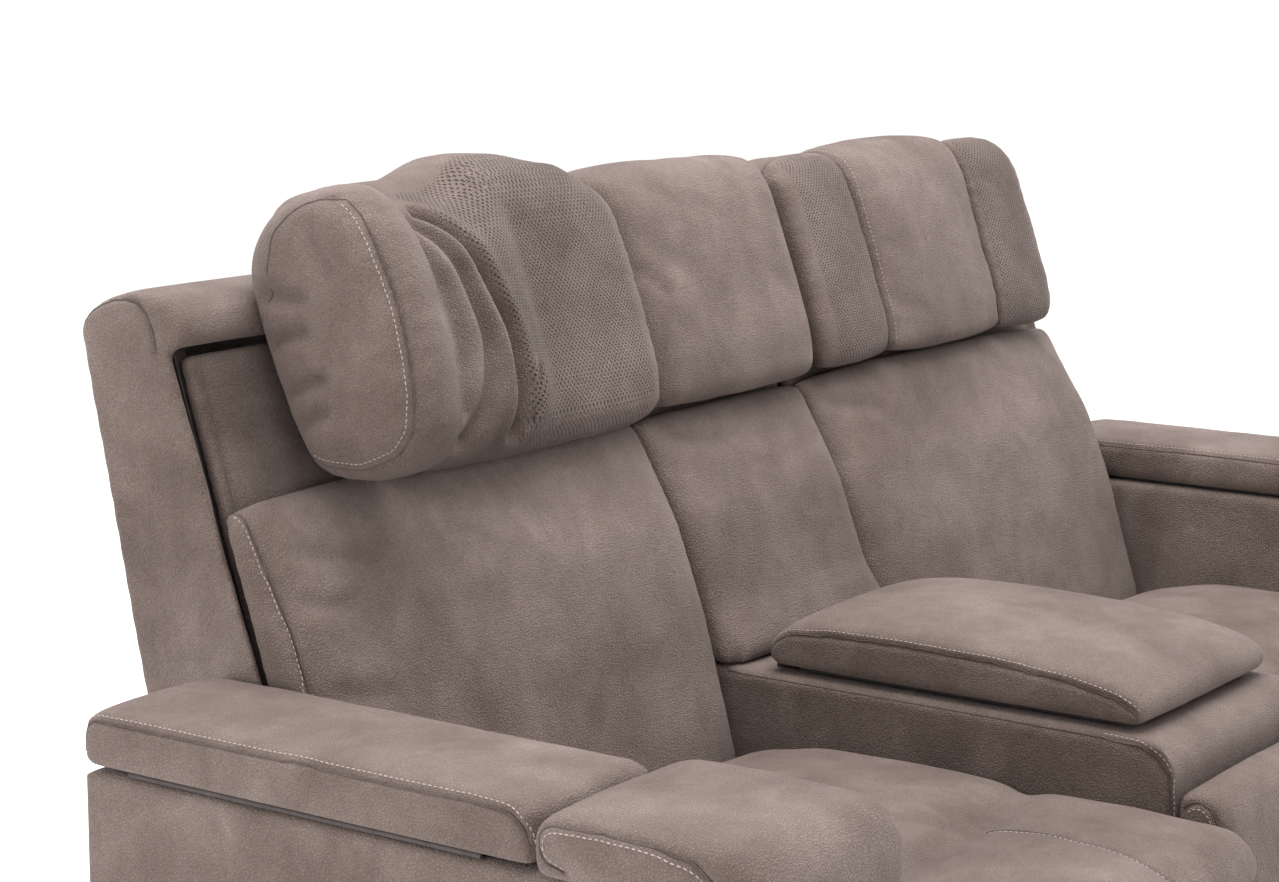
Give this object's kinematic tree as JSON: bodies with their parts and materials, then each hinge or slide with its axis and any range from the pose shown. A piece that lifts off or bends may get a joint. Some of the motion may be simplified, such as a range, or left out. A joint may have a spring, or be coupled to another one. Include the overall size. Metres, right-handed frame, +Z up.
{
  "type": "reclining sofa with console",
  "caption": "Upholstered reclining sofa: seats either side of a fixed console with lift-up lid, storage arms, reclining backs, tilting winged headrests and powered leg rests.",
  "frame": {"origin": "on the floor under the middle of the sofa's width and depth", "axes": "+Z up, the sofa faces -Y, +X to the right of a viewer who faces the sofa"},
  "size_m": [2.124, 1.015, 1.1319],
  "materials": {
    "upholstery": "matte",
    "perforated_upholstery": "matte",
    "frame_steel": "satin",
    "spring_steel": "satin",
    "black_plastic": "matte"
  },
  "bodies": {
    "base": {"base_frame": "frame_steel", "feet": "black_plastic", "slide_rails": "frame_steel", "power_inlet": "black_plastic", "control_box": "black_plastic", "arm_frame_left": "upholstery", "arm_frame_right": "upholstery", "arm_bins": "black_plastic", "arm_pad_left": "upholstery", "arm_pad_right": "upholstery", "hinge_fixed_leaves": "frame_steel", "hinge_pins": "spring_steel", "switch_bezels": "black_plastic", "console_box": "upholstery", "console_bin": "black_plastic", "console_front_pad": "upholstery", "centre_back_frame": "upholstery", "centre_rear_cover": "upholstery", "centre_back_cushion": "upholstery", "centre_headrest": "upholstery"},
    "lid_left": {"arm_lid_left": "upholstery", "arm_lid_leaf_left": "frame_steel"},
    "lid_right": {"arm_lid_right": "upholstery", "arm_lid_leaf_right": "frame_steel"},
    "lid_console": {"console_lid": "upholstery", "console_lid_leaf": "frame_steel"},
    "seat_left": {"seat_frame_left": "frame_steel", "seat_cushion_left": "upholstery", "seat_springs_left": "spring_steel", "leg_actuator_left": "black_plastic"},
    "back_left": {"back_frame_left": "upholstery", "rear_cover_left": "upholstery", "back_cushion_left": "upholstery"},
    "head_left": {"headrest_left": "upholstery", "headrest_rods_left": "frame_steel"},
    "wing_outer_left": {"headrest_wing_outer_left": "perforated_upholstery"},
    "wing_inner_left": {"headrest_wing_inner_left": "perforated_upholstery"},
    "crank_left": {"leg_crank_left": "frame_steel"},
    "links_left": {"leg_links_left": "frame_steel"},
    "board_left": {"leg_board_left": "upholstery"},
    "slider_left": {"actuator_slider_left": "black_plastic"},
    "recline_switch_left": {"recline_rocker_left": "black_plastic"},
    "headrest_switch_left": {"headrest_rocker_left": "black_plastic"},
    "seat_right": {"seat_frame_right": "frame_steel", "seat_cushion_right": "upholstery", "seat_springs_right": "spring_steel", "leg_actuator_right": "black_plastic"},
    "back_right": {"back_frame_right": "upholstery", "rear_cover_right": "upholstery", "back_cushion_right": "upholstery"},
    "head_right": {"headrest_right": "upholstery", "headrest_rods_right": "frame_steel"},
    "wing_outer_right": {"headrest_wing_outer_right": "perforated_upholstery"},
    "wing_inner_right": {"headrest_wing_inner_right": "perforated_upholstery"},
    "crank_right": {"leg_crank_right": "frame_steel"},
    "links_right": {"leg_links_right": "frame_steel"},
    "board_right": {"leg_board_right": "upholstery"},
    "slider_right": {"actuator_slider_right": "black_plastic"},
    "recline_switch_right": {"recline_rocker_right": "black_plastic"},
    "headrest_switch_right": {"headrest_rocker_right": "black_plastic"}
  },
  "joints": [
    {"name": "arm_lid_left_hinge", "type": "hinge", "parent": "base", "child": "lid_left", "pos_m": [-1.0385, 0.0515, 0.6], "axis": [0, -1, 0], "range_deg": [0, 95]},
    {"name": "arm_lid_right_hinge", "type": "hinge", "parent": "base", "child": "lid_right", "pos_m": [1.0385, 0.0515, 0.6], "axis": [0, 1, 0], "range_deg": [0, 95]},
    {"name": "console_lid_hinge", "type": "hinge", "parent": "base", "child": "lid_console", "pos_m": [0, 0.1235, 0.541], "axis": [-1, 0, 0], "range_deg": [0, 72]},
    {"name": "seat_slide_left", "type": "slide", "parent": "base", "child": "seat_left", "axis": [0, -1, 0], "range_m": [0, 0.12]},
    {"name": "back_recline_left", "type": "hinge", "parent": "seat_left", "child": "back_left", "pos_m": [0, 0.22, 0.345], "axis": [-1, 0, 0], "range_deg": [0, 35]},
    {"name": "headrest_tilt_left", "type": "hinge", "parent": "back_left", "child": "head_left", "pos_m": [0, 0.305, 0.852], "axis": [1, 0, 0], "range_deg": [0, 35]},
    {"name": "wing_outer_fold_left", "type": "hinge", "parent": "head_left", "child": "wing_outer_left", "pos_m": [-0.648, 0.2912, 0.8903], "axis": [0, -0.3337, -0.9427], "range_deg": [0, 88]},
    {"name": "wing_inner_fold_left", "type": "hinge", "parent": "head_left", "child": "wing_inner_left", "pos_m": [-0.355, 0.2912, 0.8903], "axis": [0, -0.3337, -0.9427], "range_deg": [0, 88]},
    {"name": "leg_crank_turn_left", "type": "hinge", "parent": "seat_left", "child": "crank_left", "pos_m": [0, -0.393, 0.285], "axis": [-1, 0, 0], "range_deg": [0, 90]},
    {"name": "leg_links_turn_left", "type": "hinge", "parent": "crank_left", "child": "links_left", "pos_m": [0, -0.3542, 0.1401], "axis": [1, 0, 0], "range_deg": [0, 125.1]},
    {"name": "leg_board_turn_left", "type": "hinge", "parent": "links_left", "child": "board_left", "pos_m": [0, -0.4292, 0.27], "axis": [-1, 0, 0], "range_deg": [0, 125.1]},
    {"name": "actuator_travel_left", "type": "slide", "parent": "seat_left", "child": "slider_left", "axis": [0, -1, 0], "range_m": [0, 0.0735]},
    {"name": "recline_rocker_left", "type": "hinge", "parent": "base", "child": "recline_switch_left", "pos_m": [-0.866, -0.355, 0.545], "axis": [0, 0, 1], "range_deg": [-6, 6], "stiffness_Nm_per_rad": 0.35},
    {"name": "headrest_rocker_left", "type": "hinge", "parent": "base", "child": "headrest_switch_left", "pos_m": [-0.866, -0.302, 0.545], "axis": [0, 0, 1], "range_deg": [-6, 6], "stiffness_Nm_per_rad": 0.35},
    {"name": "seat_slide_right", "type": "slide", "parent": "base", "child": "seat_right", "axis": [0, -1, 0], "range_m": [0, 0.12]},
    {"name": "back_recline_right", "type": "hinge", "parent": "seat_right", "child": "back_right", "pos_m": [0, 0.22, 0.345], "axis": [-1, 0, 0], "range_deg": [0, 35]},
    {"name": "headrest_tilt_right", "type": "hinge", "parent": "back_right", "child": "head_right", "pos_m": [0, 0.305, 0.852], "axis": [1, 0, 0], "range_deg": [0, 35]},
    {"name": "wing_outer_fold_right", "type": "hinge", "parent": "head_right", "child": "wing_outer_right", "pos_m": [0.648, 0.2912, 0.8903], "axis": [0, -0.3337, -0.9427], "range_deg": [0, 88]},
    {"name": "wing_inner_fold_right", "type": "hinge", "parent": "head_right", "child": "wing_inner_right", "pos_m": [0.355, 0.2912, 0.8903], "axis": [0, 0.3337, 0.9427], "range_deg": [0, 88]},
    {"name": "leg_crank_turn_right", "type": "hinge", "parent": "seat_right", "child": "crank_right", "pos_m": [0, -0.393, 0.285], "axis": [-1, 0, 0], "range_deg": [0, 90]},
    {"name": "leg_links_turn_right", "type": "hinge", "parent": "crank_right", "child": "links_right", "pos_m": [0, -0.3542, 0.1401], "axis": [1, 0, 0], "range_deg": [0, 125.1]},
    {"name": "leg_board_turn_right", "type": "hinge", "parent": "links_right", "child": "board_right", "pos_m": [0, -0.4292, 0.27], "axis": [-1, 0, 0], "range_deg": [0, 125.1]},
    {"name": "actuator_travel_right", "type": "slide", "parent": "seat_right", "child": "slider_right", "axis": [0, -1, 0], "range_m": [0, 0.0735]},
    {"name": "recline_rocker_right", "type": "hinge", "parent": "base", "child": "recline_switch_right", "pos_m": [0.866, -0.355, 0.545], "axis": [0, 0, 1], "range_deg": [-6, 6], "stiffness_Nm_per_rad": 0.35},
    {"name": "headrest_rocker_right", "type": "hinge", "parent": "base", "child": "headrest_switch_right", "pos_m": [0.866, -0.302, 0.545], "axis": [0, 0, 1], "range_deg": [-6, 6], "stiffness_Nm_per_rad": 0.35}
  ],
  "couplings": [
    {"joint": "back_recline_left", "follows": "seat_slide_left", "rad_per_m": 5.09},
    {"joint": "leg_links_turn_left", "follows": "leg_crank_turn_left", "ratio": 1.3889},
    {"joint": "leg_board_turn_left", "follows": "leg_crank_turn_left", "ratio": 1.3889},
    {"joint": "actuator_travel_left", "follows": "leg_crank_turn_left", "m_per_rad": 0.0465},
    {"joint": "back_recline_right", "follows": "seat_slide_right", "rad_per_m": 5.09},
    {"joint": "leg_links_turn_right", "follows": "leg_crank_turn_right", "ratio": 1.3889},
    {"joint": "leg_board_turn_right", "follows": "leg_crank_turn_right", "ratio": 1.3889},
    {"joint": "actuator_travel_right", "follows": "leg_crank_turn_right", "m_per_rad": 0.0465}
  ]
}
